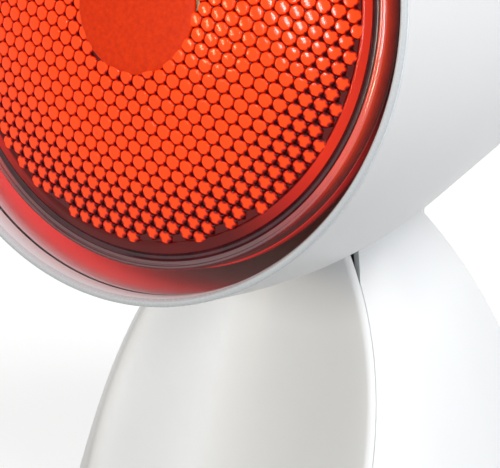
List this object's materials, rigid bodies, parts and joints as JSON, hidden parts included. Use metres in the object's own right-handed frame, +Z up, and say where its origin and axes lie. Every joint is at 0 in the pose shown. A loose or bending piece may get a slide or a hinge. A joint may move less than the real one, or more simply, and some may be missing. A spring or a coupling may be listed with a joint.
{
  "type": "infrared heat lamp",
  "caption": "Bell-shaped white shade round a stippled red reflector bulb, tilting in steps on a domed stand with a hollowed leaf-shaped front.",
  "frame": {"origin": "on the table under the axis of the domed stand, which is the middle of the whole lamp's footprint", "axes": "+Z up, the beam leaves towards -Y, +X to the right of someone who looks along the beam from behind turned round to face the lamp's front from -Y"},
  "size_m": [0.137, 0.1606, 0.2],
  "materials": {
    "white_plastic": "satin moulded shell",
    "base_plastic": "plain moulded",
    "zinc_steel": "zinc plated",
    "spring_steel": "bare spring steel",
    "ballast_steel": "plain cut plate",
    "stem_wire": "nickel wire and stem",
    "tungsten": "coiled wire",
    "porcelain": "glazed porcelain",
    "red_glass": "red pressed glass, stippled",
    "mirror_glass": "pressed glass, metallised inside",
    "black_glass": "fused insulator",
    "brass": "formed strip",
    "plated_brass": "nickel plated",
    "solder": "soldered contact",
    "natural_plastic": "natural bearing plastic",
    "cream_plastic": "heat resistant moulding",
    "lead_sleeve": "braided glass-fibre sleeve",
    "black_rubber": "soft rubber",
    "black_plastic": "moulded switch"
  },
  "bodies": {
    "stand": {"stand_shell": "white_plastic", "stand_front": "white_plastic", "pivot_bushes": "natural_plastic", "thrust_washers": "natural_plastic", "detent_spring": "spring_steel", "base_plate": "base_plastic", "base_screws": "zinc_steel", "rubber_feet": "black_rubber", "ballast_plate": "ballast_steel", "ballast_screws": "zinc_steel", "terminal_block": "cream_plastic", "terminal_screws": "zinc_steel", "stand_leads": "lead_sleeve", "cord_gland": "white_plastic", "gland_nut": "base_plastic", "switch_body": "black_plastic", "switch_tabs": "brass"},
    "head": {"shade": "white_plastic", "rear_cover": "white_plastic", "cover_screws": "zinc_steel", "lamp_bracket": "zinc_steel", "bracket_screws": "zinc_steel", "lampholder": "porcelain", "holder_shell": "brass", "holder_contact": "brass", "holder_screws": "zinc_steel", "bulb_lens": "red_glass", "bulb_reflector": "mirror_glass", "bulb_cap": "plated_brass", "bulb_insulator": "black_glass", "bulb_contact": "solder", "filament": "tungsten", "filament_mount": "stem_wire", "pivot_axle": "zinc_steel", "axle_clip": "spring_steel", "detent_wheel": "natural_plastic"},
    "rocker": {"rocker": "black_plastic"}
  },
  "joints": [
    {"name": "head_tilt", "type": "hinge", "parent": "stand", "child": "head", "pos_m": [0, 0.02476, 0.0787], "axis": [-1, 0, 0], "range_deg": [0, 40], "deforming": ["detent_spring"]},
    {"name": "rocker_press", "type": "hinge", "parent": "stand", "child": "rocker", "pos_m": [0, 0.04637, 0.03011], "axis": [1, 0, 0], "range_deg": [0, 16]}
  ]
}
